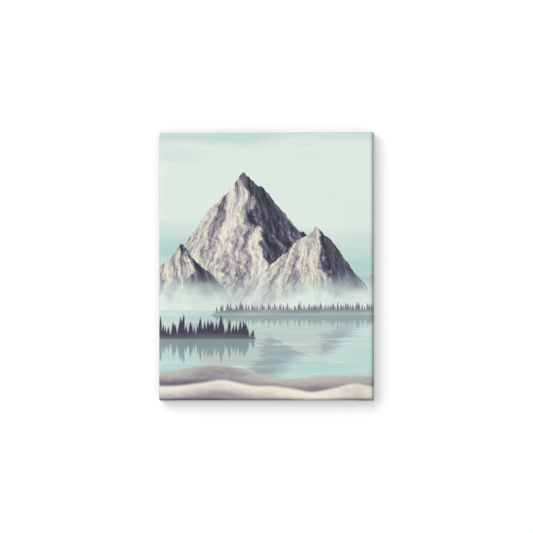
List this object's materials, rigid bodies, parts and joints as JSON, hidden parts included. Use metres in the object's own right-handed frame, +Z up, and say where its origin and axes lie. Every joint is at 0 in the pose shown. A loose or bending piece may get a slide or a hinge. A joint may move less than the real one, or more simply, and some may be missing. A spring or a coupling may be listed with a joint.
{
  "type": "stretched canvas print",
  "caption": "Upright printed canvas wrapped round a mitred pine stretcher frame, with folded corners, stapled back, sawtooth hanger and two wall pads.",
  "frame": {"origin": "the point on the wall's plane where the wall's nail meets the middle notch of the sawtooth hanger, at the middle of the width", "axes": "+Z up, +Y into the wall, +X to the right as seen from in front; the printed face looks along -Y"},
  "size_m": [0.408, 0.043, 0.5116],
  "materials": {
    "printed_canvas": "matt printed canvas, pale aqua, cream and plum-grey picture that wraps the edges, bare white cloth on the back flap",
    "pine": "planed bare pine with fine grain",
    "staple_steel": "galvanised wire, satin",
    "hanger_steel": "zinc-plated pressed sheet, slightly yellow",
    "bumper_rubber": "matt dark grey rubber"
  },
  "bodies": {
    "root": {"bar_bottom": "pine", "bar_left": "pine", "bar_right": "pine", "bar_top": "pine", "bumper_left": "bumper_rubber", "bumper_right": "bumper_rubber", "canvas": "printed_canvas", "hanger": "hanger_steel", "nail_left": "hanger_steel", "nail_right": "hanger_steel", "staple_bottom_1": "staple_steel", "staple_bottom_2": "staple_steel", "staple_bottom_3": "staple_steel", "staple_bottom_4": "staple_steel", "staple_bottom_5": "staple_steel", "staple_bottom_6": "staple_steel", "staple_corner_bottom_left": "staple_steel", "staple_corner_bottom_right": "staple_steel", "staple_corner_top_left": "staple_steel", "staple_corner_top_right": "staple_steel", "staple_left_1": "staple_steel", "staple_left_2": "staple_steel", "staple_left_3": "staple_steel", "staple_left_4": "staple_steel", "staple_left_5": "staple_steel", "staple_left_6": "staple_steel", "staple_left_7": "staple_steel", "staple_left_8": "staple_steel", "staple_left_9": "staple_steel", "staple_right_1": "staple_steel", "staple_right_2": "staple_steel", "staple_right_3": "staple_steel", "staple_right_4": "staple_steel", "staple_right_5": "staple_steel", "staple_right_6": "staple_steel", "staple_right_7": "staple_steel", "staple_right_8": "staple_steel", "staple_right_9": "staple_steel", "staple_top_1": "staple_steel", "staple_top_2": "staple_steel", "staple_top_3": "staple_steel", "staple_top_4": "staple_steel", "staple_top_5": "staple_steel", "staple_top_6": "staple_steel"}
  },
  "joints": []
}
